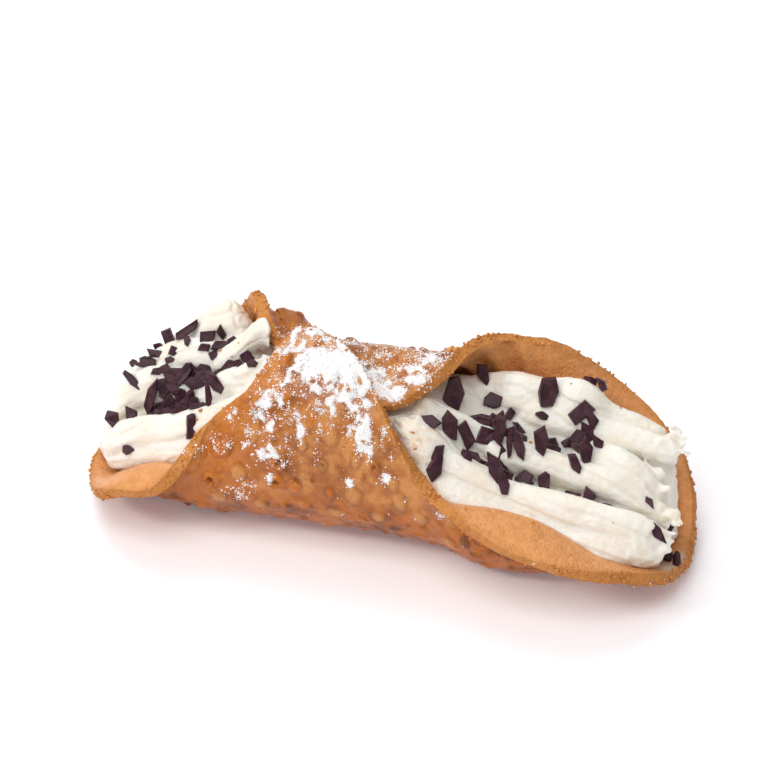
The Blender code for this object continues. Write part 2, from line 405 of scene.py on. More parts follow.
# Blisters: x, angle, half length along, half length round, height, and 1 where it has burst.
BLISTERS = (
    (-12.0, -116, 1.3, 2.2, 0.35, 0), (-1.6, -113, 1.4, 2.3, 0.35, 0), (-8.0, -105, 1.2, 1.7, 0.30, 1),
    (-1.8, -87, 2.1, 3.2, 0.40, 0), (2.2, -123, 0.9, 2.6, 0.30, 0), (-6.6, -124, 2.0, 2.6, 0.35, 0),
    (-1.0, -151, 1.0, 1.6, 0.35, 0), (5.6, -100, 1.8, 2.2, 0.35, 0), (-30.0, -82, 2.2, 2.4, 0.80, 1),
    (-17.0, -89, 2.2, 2.2, 0.80, 1), (-28.0, -107, 2.6, 2.6, 0.70, 0), (-32.0, -102, 1.4, 1.6, 0.50, 1),
    (-29.2, -66, 2.4, 2.6, 0.35, 0), (-21.6, -121, 1.2, 3.2, 0.45, 0), (7.2, -87, 1.6, 3.4, 0.30, 0),
    (-13.4, -87, 2.0, 2.2, 0.55, 0), (-24.5, -92, 2.0, 2.4, 0.45, 0), (-12.0, -72, 2.0, 2.0, 0.50, 0),
    (-21.0, -66, 1.8, 1.8, 0.45, 0), (11.0, -78, 2.0, 2.4, 0.35, 0), (-5.4, -70, 2.4, 2.0, 0.45, 0),
    (-16.5, -103, 2.2, 2.2, 0.55, 1), (2.5, -72, 2.2, 2.0, 0.40, 0), (16.5, -62, 2.0, 2.4, 0.45, 0),
)

# Where the swelling behind the curl is (x in millimetres, degrees round), and how far it reaches
SWELLING_AT = (-22.5, 140.0)
SWELLING_REACH = (5.0, 6.0)

# Sugar: x, angle, reach along, reach round, and how thickly it lies.
SUGAR_DRIFTS = (
    (-7.5, -162, 8.0, 3.2, 1.15), (-13.5, -160, 4.0, 2.8, 0.95), (0.5, -158, 4.0, 3.0, 0.95),
    (-18.0, -168, 4.5, 7.0, 0.50), (-14.0, -180, 6.0, 3.5, 0.42), (-18.5, -146, 4.5, 6.0, 0.46),
    (-20.0, -126, 3.6, 7.0, 0.48), (-18.8, -108, 4.6, 3.2, 0.54), (-22.5, -113, 1.6, 4.6, 0.50),
    (-14.5, -134, 3.0, 6.0, 0.44), (-8.5, -146, 3.2, 6.5, 0.52), (-2.4, -142, 2.6, 6.0, 0.70),
    (-0.8, -127, 1.7, 4.4, 0.80), (0.6, -119, 1.2, 2.6, 0.62), (-12.4, -123, 1.3, 1.8, 0.62),
    (-9.0, -110, 0.9, 3.0, 0.50), (-8.8, -128, 1.0, 4.0, 0.42), (4.6, -103, 1.9, 1.8, 0.62),
    (8.8, -92, 0.9, 0.8, 0.50), (3.6, -131, 1.2, 4.0, 0.50), (6.5, -172, 4.5, 4.0, 0.60),
    (7.0, -186, 5.0, 5.0, 0.46), (-3.5, 174, 5.0, 4.5, 0.38), (-18.0, -92, 1.2, 1.4, 0.50),
    (-25.5, -73, 3.0, 2.6, 0.44), (-23.2, -84, 2.4, 1.8, 0.38), (-28.5, -110, 2.8, 2.2, 0.48),
    (-34.0, -104, 2.4, 1.8, 0.54), (-26.2, -126, 1.4, 2.2, 0.46), (-2.6, -96, 1.6, 1.2, 0.48),
    (16.0, -86, 1.8, 1.4, 0.50), (-21.0, 176, 3.0, 5.0, 0.34), (5.0, -118, 0.8, 1.6, 0.46),
    (-10.0, 158, 6.0, 4.5, 0.38), (6.0, 160, 7.0, 4.0, 0.36), (-6.0, -151, 7.0, 4.0, 0.60),
    (-13.0, 178, 4.0, 2.6, 0.72), (-7.0, -174, 4.0, 2.6, 0.90), (-1.0, -166, 3.6, 2.8, 0.95),
    (3.5, -156, 2.4, 2.4, 0.80),
)


def mark_sides(sheet):
    """Mark each face 0 outside, 1 inside or 2 on the cut edge, by the sharp edges between them."""
    for face in sheet.faces:
        face.material_index = 9
    regions = []
    for first in sheet.faces:
        if first.material_index != 9:
            continue
        first.material_index = 8
        region = [first]
        for face in region:
            for edge in face.edges:
                if len(edge.link_faces) != 2 or edge.calc_face_angle() > math.radians(50):
                    continue
                for other in edge.link_faces:
                    if other.material_index == 9:
                        other.material_index = 8
                        region.append(other)
        regions.append(region)
    regions.sort(key=lambda region: -sum(face.calc_area() for face in region))
    axis = Vector((0.0, AXIS_Y, AXIS_Z)) * MM
    for rank, region in enumerate(regions):
        outward = 0.0
        for face in region:
            away = face.calc_center_median() - axis
            outward += face.calc_area() * face.normal.dot(Vector((0.0, away.y, away.z)))
        kind = 2 if rank > 1 else (0 if outward > 0.0 else 1)
        for face in region:
            face.material_index = kind


def refine_shell(settings):
    """Copy the rolled dough, round it off and divide its outside finely."""
    sheet = bmesh.new()
    sheet.from_mesh(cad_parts["shell"].data)
    bmesh.ops.remove_doubles(sheet, verts=sheet.verts, dist=0.001 * MM)
    bmesh.ops.join_triangles(
        sheet, faces=sheet.faces, angle_face_threshold=math.radians(40),
        angle_shape_threshold=math.radians(60),
    )
    mark_sides(sheet)
    crease = sheet.edges.layers.float.new("crease_edge")
    for edge in sheet.edges:
        if len({face.material_index for face in edge.link_faces}) > 1:
            edge[crease] = settings.edge_sharpness
    mesh = bpy.data.meshes.new("fried_shell")
    sheet.to_mesh(mesh)
    sheet.free()
    # The stored normals are those of the plain solid, and would hide the relief
    mesh.attributes.remove(mesh.attributes["custom_normal"])
    piece = new_object("fried_shell", mesh)
    for _ in range(3):
        piece.data.materials.append(None)
    rounding = piece.modifiers.new("rounding", "SUBSURF")
    rounding.levels = 2
    rounding.render_levels = 2
    freeze(piece)
    sheet = bmesh.new()
    sheet.from_mesh(piece.data)
    shown = {
        edge
        for face in sheet.faces if face.material_index != 1 and face.normal.z > -0.45
        for edge in face.edges
    }
    bmesh.ops.subdivide_edges(sheet, edges=list(shown), cuts=1, use_grid_fill=True)
    sheet.to_mesh(piece.data)
    sheet.free()
    return piece


def side_shares(mesh):
    """For each vertex, the share of its faces that are outside, inside and on the cut edge."""
    shares = np.zeros((len(mesh.vertices), 3))
    for face in mesh.polygons:
        for i in face.vertices:
            shares[i, face.material_index] += 1.0
    return shares / np.maximum(shares.sum(axis=1, keepdims=True), 1.0)


def edge_distance(points, on_edge):
    """Millimetres from each vertex to the nearest vertex of the cut edge."""
    spots = np.nonzero(on_edge)[0]
    tree = kdtree.KDTree(len(spots))
    for k, i in enumerate(spots):
        tree.insert(points[i], k)
    tree.balance()
    return np.array([tree.find(p)[2] for p in points.tolist()])


def scattered_blisters(settings):
    """The named blisters and many small ones at random, all round the roll."""
    draw = random.Random(11)
    blisters = list(BLISTERS)
    for _ in range(settings.blisters):
        x = draw.uniform(-54.0, 58.0)
        angle = draw.uniform(-180.0, 180.0)
        size = draw.triangular(0.6, 2.1, 1.0)
        stretch = draw.uniform(1.0, 1.7)
        height = draw.uniform(0.14, 0.34) * size
        burst = 1 if draw.random() < 0.10 else 0
        clear = True
        for other in blisters:
            gap = math.hypot(x - other[0], math.radians(angle - other[1]) * TUBE_RADIUS)
            if gap < (size * stretch + other[3]) * 0.8:
                clear = False
        if clear:
            blisters.append((x, angle, size, size * stretch, height, burst))
    return blisters


def blister_relief(points, blisters):
    """Height of the blisters, and how pale their thin tops are."""
    wobble = field(points, 2.2, 3) * 0.24 + field(points, 0.9, 13) * 0.10
    height = np.zeros(len(points))
    pale = np.zeros(len(points))
    for rank, (x, angle, along, around, rise, burst) in enumerate(blisters):
        dx, da = distance_on_roll(points, x, angle)
        off = np.hypot(dx / along, da / around) + wobble
        dome = np.clip(1.0 - off * off, 0.0, 1.0) ** 1.2
        height += rise * dome
        if rank < len(BLISTERS) and rise < 0.5:
            pale = np.maximum(pale, ease(0.1, 1.0, dome))
        if burst:
            pit = np.clip(1.0 - (off / 0.38) ** 2, 0.0, 1.0)
            height -= (rise + 0.5) * pit
    return height, pale


def sugar_cover(points, drifts):
    """How thickly the sugar lies at each vertex."""
    cover = np.zeros(len(points))
    for x, angle, along, around, depth in drifts:
        dx, da = distance_on_roll(points, x, angle)
        off = (dx / along) ** 2 + (da / around) ** 2
        cover = np.maximum(cover, depth * np.exp(-0.8 * off ** 1.3))
    uneven = 0.30 * field(points, 3.2, 14) + 0.40 * field(points, 1.3, 15)
    return np.clip(cover * (1.0 + 0.3 * uneven) + uneven * ease(0.08, 0.4, cover), 0.0, 1.3)


def shape_shell(piece, settings):
    """Raise blisters, crumbs and folds on the rolled dough, and note what colours it."""
    mesh = piece.data
    points = read_points(mesh)
    shares = side_shares(mesh)
    outside = shares[:, 0]
    inside = shares[:, 1]
    gap = edge_distance(points, shares[:, 2] > 0.0)
    angle = angle_round(points)
    x = points[:, 0]
    # Slow waves and the fold under the near lip
    height = outside * 0.40 * field(points, 9.0, 1) + inside * 0.25 * field(points, 7.0, 2)
    fold = np.exp(-((x - 26.0) / 9.5) ** 4 - ((angle + 52.0) / 24.0) ** 4)
    height += outside * settings.fold_depth / MM * fold * ease(0.0, 3.0, gap)
    # The swelling behind the curled corner
    along, around = distance_on_roll(points, *SWELLING_AT)
    swell = np.exp(-((along / SWELLING_REACH[0]) ** 2) - (around / SWELLING_REACH[1]) ** 2)
    height += outside * settings.swelling / MM * swell * ease(0.5, 6.0, gap)
    # Flutes on the inner face of the far lip
    flutes = np.exp(-((x - 19.0) / 8.0) ** 4) * ease(95.0, 115.0, angle) * inside
    height += 0.7 * flutes * np.sin((x + 0.06 * angle) * 1.25)
    # Blisters, then fine bubbles that are strongest underneath and by the edges
    domes, pale = blister_relief(points, scattered_blisters(settings))
    height += outside * settings.blister_height * domes * ease(0.2, 2.5, gap)
    rough = 0.4 + 0.8 * ease(-80.0, -45.0, -np.abs(angle))
    rough = rough + 0.8 * ease(150.0, 175.0, np.abs(angle)) * (x > -8.0)
    fine = field(points, 1.7, 4) + 0.7 * field(points, 0.95, 5)
    height += outside * rough * 0.26 * fine
    height += inside * 0.08 * field(points, 1.9, 6)
    # The dough thins towards its cut edge, which crumbles here and there
    height -= outside * settings.thinning / MM * ease(-3.5, -0.2, -gap)
    patchy = 0.35 + 0.65 * ease(-0.15, 0.45, field(points, 6.0, 16))
    crumble = patchy * (0.8 * field(points, 1.9, 7) + 0.6 * field(points, 0.85, 8))
    crumble = crumble + 0.7 * field(points, 4.5, 17)
    ridge = np.exp(-((gap / 0.9) ** 2)) * (outside > 0.0)
    height += settings.crumble_depth / MM * (ridge * (0.2 + crumble) + shares[:, 2] * crumble)
    sugar = sugar_cover(points, SUGAR_DRIFTS) * (outside + 0.6 * shares[:, 2])
    drift = ease(0.45, 1.0, sugar)
    height += drift * (0.20 + 0.30 * field(points, 1.1, 9) + 0.22 * field(points, 0.6, 10))
    points += read_normals(mesh) * height[:, None]
    points[:, 2] = np.maximum(points[:, 2], 0.0)
    write_points(mesh, points)
    write_value(mesh, "inner", inside)
    write_value(mesh, "edge", np.maximum(np.exp(-((gap / 1.1) ** 2)) * 0.8, shares[:, 2]))
    write_value(mesh, "blister", pale * outside * 0.75)
    write_value(mesh, "sugar", sugar)
    # Domes golden. Browning is random, and painted shade darkens the hollows, the feet of the domes and the
    # dips among the fine bubbles; the lower half is darker still
    low = ease(-105.0, -55.0, -np.abs(angle))
    dome_feet_shade = ease(0.0, 0.12, domes) * (1.0 - ease(0.12, 0.45, domes))
    uneven = 0.5 * field(points, 9.0, 12) + 0.45 * field(points, 3.5, 18)
    toast_and_shade = 0.35 * low + uneven + 0.35 * dome_feet_shade - 0.3 * ease(0.2, 0.7, domes) - 0.32 * fine
    golden = np.maximum(ease(0.05, 0.45, domes), 0.7 * ease(14.0, 28.0, -x))
    golden = np.maximum(golden, ease(-95.0, -60.0, -np.abs(angle)))
    write_value(mesh, "golden", golden * outside)
    write_value(mesh, "toast_and_shade", toast_and_shade)
    smear = np.exp(-((x - 57.8) / 2.6) ** 4 - ((points[:, 1] + 6.0) / 5.0) ** 4) * inside
    write_value(mesh, "smear", smear * 0.8)


class ShellSettings(bpy.types.PropertyGroup):
    """Sizes and colours of the fried shell."""

    blister_height: FloatProperty(
        name="Blister height", description="How much of their full height the blisters have", default=1.6,
        min=0.0, max=2.0, subtype="FACTOR",
    )
    thinning: FloatProperty(
        name="Thinning", description="How much thinner the dough is at its cut edge", default=0.15 * MM,
        unit="LENGTH",
    )
    crumble_depth: FloatProperty(
        name="Crumble depth", description="How deeply the cut edge crumbles", default=0.32 * MM,
        unit="LENGTH",
    )
    fold_depth: FloatProperty(
        name="Fold depth", description="How far the fold under the near lip stands out", default=2.6 * MM,
        unit="LENGTH",
    )
    swelling: FloatProperty(
        name="Swelling", description="Height of the swelling behind the curled corner", default=2.0 * MM,
        unit="LENGTH",
    )
    edge_sharpness: FloatProperty(
        name="Edge sharpness", description="How sharp the cut edge stays when rounded", default=0.55,
        min=0.0, max=1.0, subtype="FACTOR",
    )
    blisters: IntProperty(name="Blisters", description="Blisters all round the roll", default=700)
    tan: FloatVectorProperty(
        name="Tan", description="Lightly fried dough", default=linear("#D08A48"), subtype="COLOR",
    )
    # Dull brown and brown are laid on where the browning value is high, which holds random tone and also
    # painted shade in the hollows and at the feet of the blisters; brown also colours the dark flecks
    dull: FloatVectorProperty(
        name="Dull brown", description="Dough between the blisters", default=linear("#A6602A"),
        subtype="COLOR",
    )
    amber: FloatVectorProperty(
        name="Amber", description="Raised, well fried dough", default=linear("#C46A10"), subtype="COLOR",
    )
    brown: FloatVectorProperty(
        name="Brown", description="Dark hollows of the dough", default=linear("#7E4316"), subtype="COLOR",
    )
    inside: FloatVectorProperty(
        name="Inside", description="Inner face of the dough", default=linear("#EDA468"), subtype="COLOR",
    )
    blister: FloatVectorProperty(
        name="Blister", description="Thin pale top of a blister", default=linear("#D6A060"),
        subtype="COLOR",
    )
    cut_edge: FloatVectorProperty(
        name="Cut edge", description="Crumbly cut edge", default=linear("#D08A48"), subtype="COLOR",
    )
    fleck: FloatVectorProperty(
        name="Fleck", description="Light flecks", default=linear("#F0CE9C"), subtype="COLOR",
    )
    film: FloatVectorProperty(
        name="Film", description="Thin film of cream on the lip", default=linear("#E8D6C8"),
        subtype="COLOR",
    )
    sugar: FloatVectorProperty(
        name="Sugar", description="Icing sugar", default=linear("#FBF8F8"), subtype="COLOR",
    )


class CANNOLO_OT_shell(bpy.types.Operator):
    """Make the fried shell from the rolled dough"""

    bl_idname = "cannolo.shell"
    bl_label = "Fried shell"

    def execute(self, context):
        settings = context.scene.cannolo_shell
        piece = refine_shell(settings)
        shape_shell(piece, settings)
        finish_piece(piece, fried_dough(settings), "shell", "shell")
        return {"FINISHED"}


# ---------------------------------------------------------------- cream


# Ribbons of cream: x, y, height of the crest and half width at each place along them.
RIBBONS = (
    # Wider mouth: far ridge and its shelf, tongue, middle ridge, near ridge, front, and the lump by the seam
    ((6, 9.5, 25.5, 4.0), (12, 11.5, 28.2, 4.5), (17.4, 12, 30.2, 4.6), (23.3, 12, 31.2, 4.8),
     (28.2, 12, 30.7, 4.8),
     (35, 12, 31.7, 4.6), (38.5, 12, 30.1, 4.2), (41, 12, 27.6, 4.0), (47, 12, 25.7, 3.6),
     (53, 11.5, 24.2, 2.6)),
    ((24, 8.5, 28.2, 3.2), (30, 8.5, 28.4, 3.6), (36, 8.5, 28.0, 3.6), (41, 8.5, 26.2, 3.4),
     (47, 8.8, 25.3, 3.2),
     (55.5, 8.5, 24.0, 2.6)),
    ((36, 2, 25.0, 3.4), (42, 2, 25.0, 3.6), (46, 1.5, 24.6, 3.4), (49.5, 1, 22.8, 3.2),
     (54, 0.5, 18.4, 2.4)),
    ((20, -2.5, 27.0, 3.2), (26, -2.3, 25.8, 3.2), (31.6, -2, 24.5, 3.2), (37.4, -2, 23.3, 3.2),
     (44.1, -2, 22.5, 3.2),
     (49.9, -2, 19.8, 3.0), (56.7, -3, 15.8, 2.0)),
    ((5, -6.5, 29.5, 4.5), (9.8, -8, 29.0, 4.4), (13.7, -8.5, 27.2, 4.2), (18.8, -9, 24.6, 4.0),
     (24.7, -9.5, 22.3, 3.8),
     (36.3, -10, 20.9, 3.6), (44, -10, 19.7, 3.6), (51.5, -9.3, 18.2, 3.2), (57.5, -8, 14.8, 2.2)),
    ((8, -10, 27.0, 4.0), (14, -12, 23.5, 4.0), (22, -13.5, 20.0, 3.8), (27, -13.8, 18.4, 3.6),
     (37, -13.8, 16.4, 3.6),
     (46, -13.3, 15.6, 3.4), (52, -12, 15.2, 3.0), (57, -10.0, 13.6, 2.0)),
    ((0, -2, 31.0, 4.5), (5, -1.5, 32.2, 4.3), (8.2, -2, 32.4, 3.8), (11, -2, 31.0, 3.4),
     (14.5, -1.5, 29.4, 3.2),
     (19, -1.0, 27.4, 3.0), (24, -1.0, 26.0, 3.0)),
    # Narrower mouth: far lump, ridge before it, wing by the seam, two near ridges, front and the middle
    ((-47, 11, 27, 3.6), (-43, 11.5, 31.2, 4.0), (-38, 12, 36.4, 4.4), (-34.2, 12, 38.0, 4.2),
     (-31.5, 11.5, 35.6, 3.6),
     (-28, 10.5, 31.5, 3.0), (-22, 9, 30, 3.0)),
    ((-54, 3.5, 23, 3.2), (-50.5, 5, 26.5, 3.4), (-47, 6, 29.0, 3.6), (-41.6, 6, 31.8, 3.6),
     (-37, 6, 32.3, 3.6),
     (-33, 6, 32.6, 3.4), (-29.5, 6, 33.4, 3.0)),
    ((-36, 4.0, 31.0, 3.0), (-32.5, 4.2, 33.2, 3.0), (-29.5, 4.8, 36.2, 2.8), (-27.3, 5.0, 38.8, 2.2),
     (-25.2, 4.2, 40.6, 1.6), (-23.2, 2.0, 39.8, 1.3)),
    ((-38, -2.5, 26.2, 3.0), (-35.5, -2, 27.4, 3.2), (-32.3, -0.5, 30.2, 3.4), (-27.8, 0.5, 32.0, 3.4),
     (-23.2, 1.0, 33.4, 2.8), (-18, 1.0, 33.0, 2.4)),
    ((-55.5, -6.0, 16.5, 3.0), (-51.3, -8, 20.0, 3.4), (-46.7, -8, 21.8, 3.4), (-41.6, -8, 23.2, 3.4),
     (-35.5, -8, 25.8, 3.4), (-30.5, -7.5, 28.0, 3.4), (-26, -6.5, 30, 3.2), (-21, -5, 31, 3.0)),
    ((-55.0, -5.5, 13.8, 3.0), (-49.5, -8.4, 17.0, 3.2), (-44, -9.6, 18.9, 3.2), (-39, -10.2, 20.2, 3.2),
     (-34, -10.4, 22.6, 3.0), (-28, -10.0, 26.0, 3.0)),
    ((-57.5, -1, 13.5, 3.6), (-55, 0, 19.3, 4.4), (-52.5, 1.5, 23.8, 4.8), (-49, 2, 26.8, 5.0),
     (-44, 2, 27.2, 5.0),
     (-38, 2, 27.6, 5.0)),
)

# Ragged ends, where the cream has torn: first and last place, and how many bits hang between them.
TORN_ENDS = (
    ((53.5, 12.8, 22.8), (56.2, 7.2, 22.6), 9), ((50.5, 5.0, 20.6), (54.2, -0.6, 17.6), 8),
    ((56.2, -1.6, 15.2), (57.6, -6.0, 14.4), 5), ((57.0, -7.0, 13.8), (56.6, -10.8, 12.8), 5),
    ((13.4, -15.4, 20.6), (22.0, -15.8, 17.6), 6), ((-29.0, -2.0, 30.0), (-23.0, 1.4, 33.2), 6),
)


def curve_through(stations, shares):
    """Smooth curve through stations of any number of values, at shares from 0 to 1 along it."""
    stations = np.array(stations, dtype=float)
    steps = np.linalg.norm(np.diff(stations[:, :3], axis=0), axis=1)
    marks = np.concatenate([[0.0], np.cumsum(steps)])
    slopes = np.gradient(stations, marks, axis=0)
    at = np.asarray(shares) * marks[-1]
    k = np.clip(np.searchsorted(marks, at) - 1, 0, len(steps) - 1)
    span = steps[k][:, None]
    t = (at[:, None] - marks[k][:, None]) / span
    first = (1.0 + 2.0 * t) * (1.0 - t) ** 2 * stations[k] + t * (1.0 - t) ** 2 * span * slopes[k]
    last = t * t * (3.0 - 2.0 * t) * stations[k + 1] - t * t * (1.0 - t) * span * slopes[k + 1]
    return first + last


def add_ribbon(sheet, stations, depth):
    """Stretch a sphere along a ribbon, with a crest above and its body sunk in the cream."""
    made = bmesh.ops.create_uvsphere(sheet, u_segments=28, v_segments=44, radius=1.0)["verts"]
    unit = np.array([vert.co[:] for vert in made])
    shares = 0.5 - np.arcsin(np.clip(unit[:, 2], -1.0, 1.0)) / math.pi
    turn = np.arctan2(unit[:, 1], unit[:, 0])
    middle = curve_through(stations, shares)
    ends = np.clip(1.0 - np.abs(2.0 * shares - 1.0) ** 7, 0.0, 1.0) ** (1.0 / 3.0)
    width = middle[:, 3] * ends
    side = np.cos(turn)
    lift = np.sin(turn)
    rise = np.where(lift > 0.0, middle[:, 3] * 0.95 * np.abs(lift) ** 0.7, depth) * ends
    across = np.sign(side) * np.abs(side) ** 1.2 * width
    height = middle[:, 2] - middle[:, 3] * 0.95 + lift * rise
    for vert, x, y, z in zip(made, middle[:, 0], middle[:, 1] + across, height):
        vert.co = (x * MM, y * MM, z * MM)


def add_torn_end(sheet, first, last, count, draw):
    """Hang small ragged bits along the end of a ribbon."""
    for i in range(count):
        share = (i + draw.uniform(0.0, 0.9)) / count
        spot = Vector(first).lerp(Vector(last), share)
        spot += Vector((draw.uniform(-1.2, 0.8), draw.uniform(-0.4, 0.4), draw.uniform(-0.9, 0.7)))
        size = Matrix.Diagonal((draw.uniform(0.8, 2.0), draw.uniform(0.4, 0.9), draw.uniform(0.4, 0.9), 1.0))
        turn = Matrix.Rotation(draw.uniform(-0.7, 0.7), 4, "Z")
        turn = turn @ Matrix.Rotation(draw.uniform(-0.5, 0.5), 4, "Y")
        place = Matrix.Scale(MM, 4) @ Matrix.Translation(spot) @ turn @ size
        bmesh.ops.create_icosphere(sheet, subdivisions=2, radius=1.0, matrix=place)


def heap_cream(settings):
    """Lay the ribbons on the body of the cream and run them together."""
    sheet = bmesh.new()
    sheet.from_mesh(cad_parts["filling"].data)
    bmesh.ops.remove_doubles(sheet, verts=sheet.verts, dist=0.001 * MM)
    for vert in sheet.verts:
        x = vert.co.x / MM
        open_end = float(ease(12.0, 20.0, x) + ease(21.0, 28.0, -x))
        up = float(ease(-0.1, 0.5, vert.normal.z))
        vert.co.z -= settings.sink * open_end * up
    for stations in RIBBONS:
        add_ribbon(sheet, stations, settings.ribbon_depth / MM)
    draw = random.Random(5)
    for first, last, count in TORN_ENDS:
        add_torn_end(sheet, first, last, count, draw)
    mesh = bpy.data.meshes.new("ricotta_cream")
    sheet.to_mesh(mesh)
    sheet.free()
    piece = new_object("ricotta_cream", mesh)
    melt = piece.modifiers.new("melt", "REMESH")
    melt.mode = "VOXEL"
    melt.voxel_size = settings.voxel
    soften = piece.modifiers.new("soften", "SMOOTH")
    soften.factor = 0.5
    soften.iterations = 3
    freeze(piece)
    return piece


def keep_largest(mesh):
    """Delete every loose part of a mesh but the largest."""
    sheet = bmesh.new()
    sheet.from_mesh(mesh)
    left = set(sheet.verts)
    parts = []
    while left:
        part = [left.pop()]
        for vert in part:
            for edge in vert.link_edges:
                other = edge.other_vert(vert)
                if other in left:
                    left.remove(other)
                    part.append(other)
        parts.append(part)
    parts.sort(key=len)
    spare = [vert for part in parts[:-1] for vert in part]
    bmesh.ops.delete(sheet, geom=spare, context="VERTS")
    sheet.to_mesh(mesh)
    sheet.free()


def drag_marks(piece, settings):
    """Draw fine streaks along the cream, and grains of curd."""
    mesh = piece.data
    points = read_points(mesh)
    # The streaks run down each mound from the tube
    along = points * (0.2, 1.0, 1.0)
    along[:, 2] += np.where(points[:, 0] > 0.0, 0.33, -0.6) * points[:, 0]
    height = settings.streak_depth / MM * (field(along, 2.2, 21) + 0.5 * field(along, 1.0, 22))
    creases = field(along * (0.6, 1.0, 1.0), 4.5, 27)
    height -= settings.crease_depth / MM * ease(-0.14, -0.01, -np.abs(creases))
    height += settings.curd_depth / MM * (field(points, 1.3, 23) + 0.8 * field(points, 0.75, 24))
    torn = ease(47.0, 54.0, points[:, 0])
    height += torn * 0.35 * field(points, 1.6, 25)
    points += read_normals(mesh) * height[:, None]
    write_points(mesh, points)
    stain = np.zeros(len(points))
    for spot, reach in (((6.5, -2.5, 32.0), 2.6), ((9.5, -10.5, 28.0), 2.8), ((13.0, -14.5, 22.5), 2.0)):
        stain = np.maximum(stain, np.exp(-((np.linalg.norm(points - spot, axis=1) / reach) ** 2)))
    write_value(mesh, "stain", stain * (0.6 + 0.8 * field(points, 1.5, 26)))


class CreamSettings(bpy.types.PropertyGroup):
    """Sizes and colours of the cream."""

    sink: FloatProperty(
        name="Sink", description="How far the body lies below the crests", default=2.6 * MM,
        unit="LENGTH",
    )
    ribbon_depth: FloatProperty(
        name="Ribbon depth", description="How deep a ribbon reaches into the body", default=5.0 * MM,
        unit="LENGTH",
    )
    voxel: FloatProperty(
        name="Fineness", description="Size of the cells in which the ribbons run together",
        default=0.38 * MM, unit="LENGTH",
    )
    streak_depth: FloatProperty(
        name="Streak depth", description="Depth of the streaks along the cream", default=0.17 * MM,
        unit="LENGTH",
    )
    crease_depth: FloatProperty(
        name="Crease depth", description="Depth of the sharp creases along the cream", default=0.26 * MM,
        unit="LENGTH",
    )
    curd_depth: FloatProperty(
        name="Curd depth", description="Depth of the grains of curd", default=0.09 * MM, unit="LENGTH",
    )
    cream: FloatVectorProperty(
        name="Cream", description="Ricotta cream", default=linear("#EEEAE1"), subtype="COLOR",
    )
    cream_warm: FloatVectorProperty(
        name="Warm cream", description="Ricotta cream where it is thick", default=linear("#EAE2D3"),
        subtype="COLOR",
    )
    stain: FloatVectorProperty(
        name="Stain", description="Crumb stains on the cream", default=linear("#D9A05C"), subtype="COLOR",
    )


class CANNOLO_OT_cream(bpy.types.Operator):
    """Make the ricotta cream"""

    bl_idname = "cannolo.cream"
    bl_label = "Ricotta cream"

    def execute(self, context):
        settings = context.scene.cannolo_cream
        piece = heap_cream(settings)
        keep_largest(piece.data)
        drag_marks(piece, settings)
        finish_piece(piece, whipped_ricotta(settings), "cream", "filling")
        return {"FINISHED"}


# ---------------------------------------------------------------- chocolate


